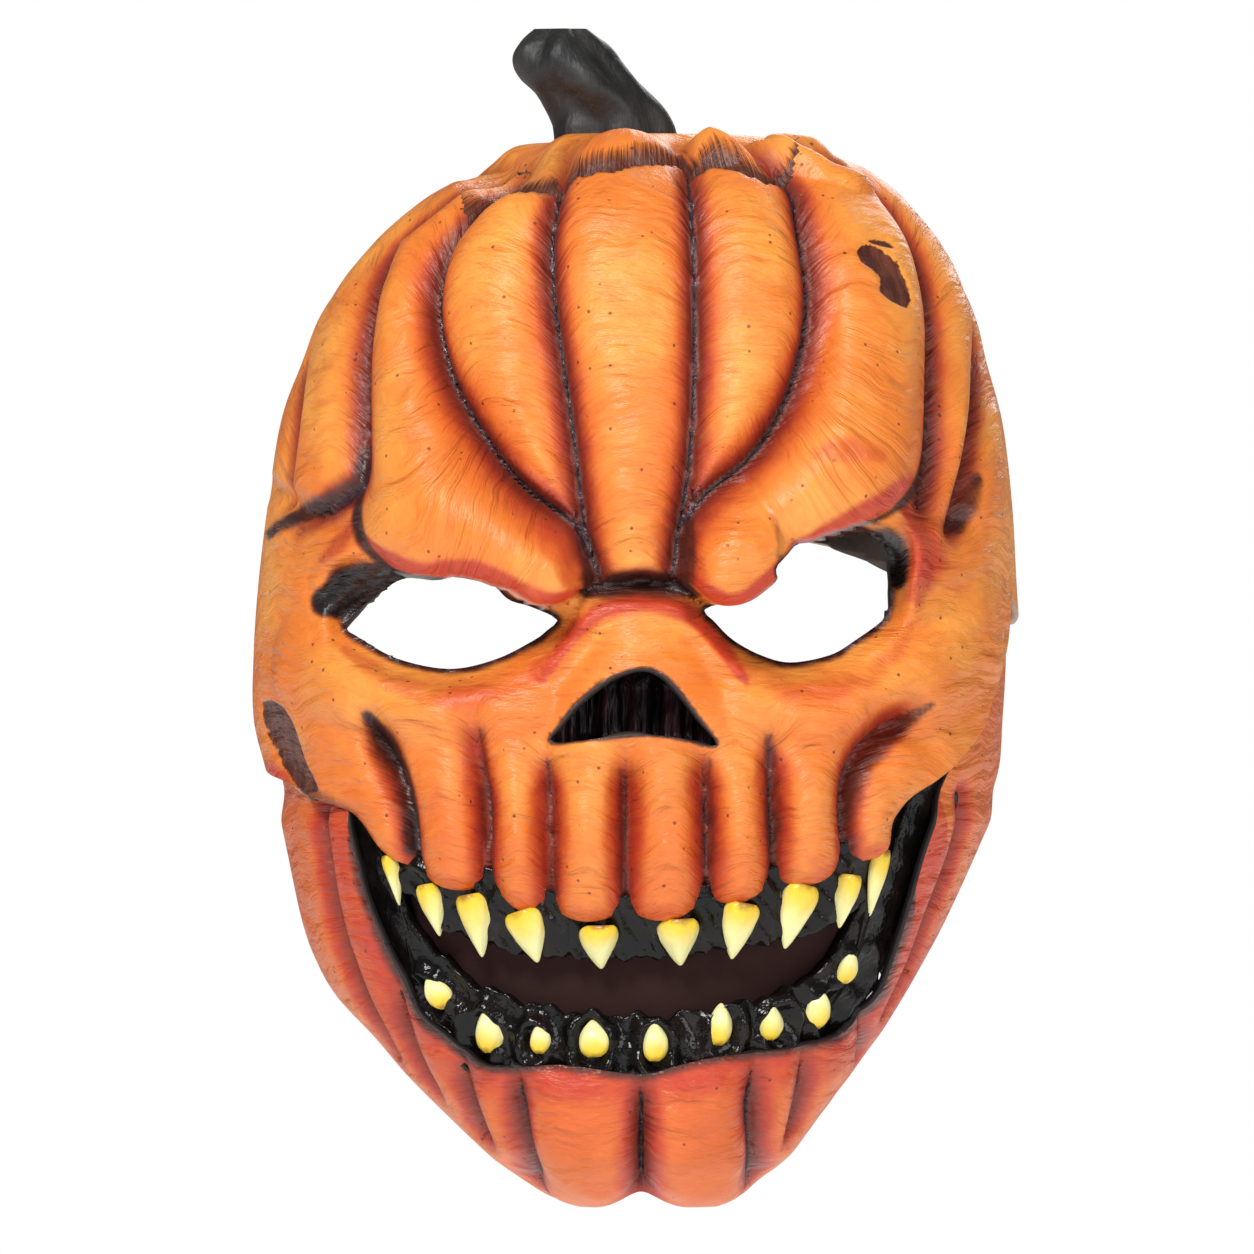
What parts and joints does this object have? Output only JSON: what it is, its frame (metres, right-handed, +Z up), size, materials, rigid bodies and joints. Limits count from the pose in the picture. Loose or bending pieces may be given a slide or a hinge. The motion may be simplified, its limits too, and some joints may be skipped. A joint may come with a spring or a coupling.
{
  "type": "pumpkin mask",
  "caption": "Latex pumpkin face mask with a stem, angry brows, open eyes, a fanged mouth and a hanging jaw.",
  "frame": {"origin": "inside of the crown below the stem, where the mask sits on the wearer's head", "axes": "+Z up, the face looks along -Y, +X is to the right as seen from the front"},
  "size_m": [0.2421, 0.2015, 0.3708],
  "materials": {
    "face_latex": "satin painted latex, yellow-orange on the ribs and dark in the grooves",
    "jaw_latex": "satin painted latex, redder than the face",
    "gum_paint": "gloss black painted latex",
    "tooth_paint": "satin yellow painted latex with pale tips",
    "stem_paint": "matte black painted latex",
    "mouth_cloth": "matte dark brown cloth",
    "nose_latex": "dark purple-brown painted latex"
  },
  "bodies": {
    "root": {"face_shell": "face_latex", "jaw_shell": "jaw_latex", "upper_gum": "gum_paint", "lower_gum": "gum_paint", "mouth_lining": "mouth_cloth", "nose_lining": "nose_latex", "stem": "stem_paint", "upper_tooth_1": "tooth_paint", "upper_tooth_2": "tooth_paint", "upper_tooth_3": "tooth_paint", "upper_tooth_4": "tooth_paint", "upper_tooth_5": "tooth_paint", "upper_tooth_6": "tooth_paint", "upper_tooth_7": "tooth_paint", "upper_tooth_8": "tooth_paint", "upper_tooth_9": "tooth_paint", "upper_tooth_10": "tooth_paint", "lower_tooth_1": "tooth_paint", "lower_tooth_2": "tooth_paint", "lower_tooth_3": "tooth_paint", "lower_tooth_4": "tooth_paint", "lower_tooth_5": "tooth_paint", "lower_tooth_6": "tooth_paint", "lower_tooth_7": "tooth_paint", "lower_tooth_8": "tooth_paint", "lower_tooth_9": "tooth_paint"}
  },
  "joints": []
}
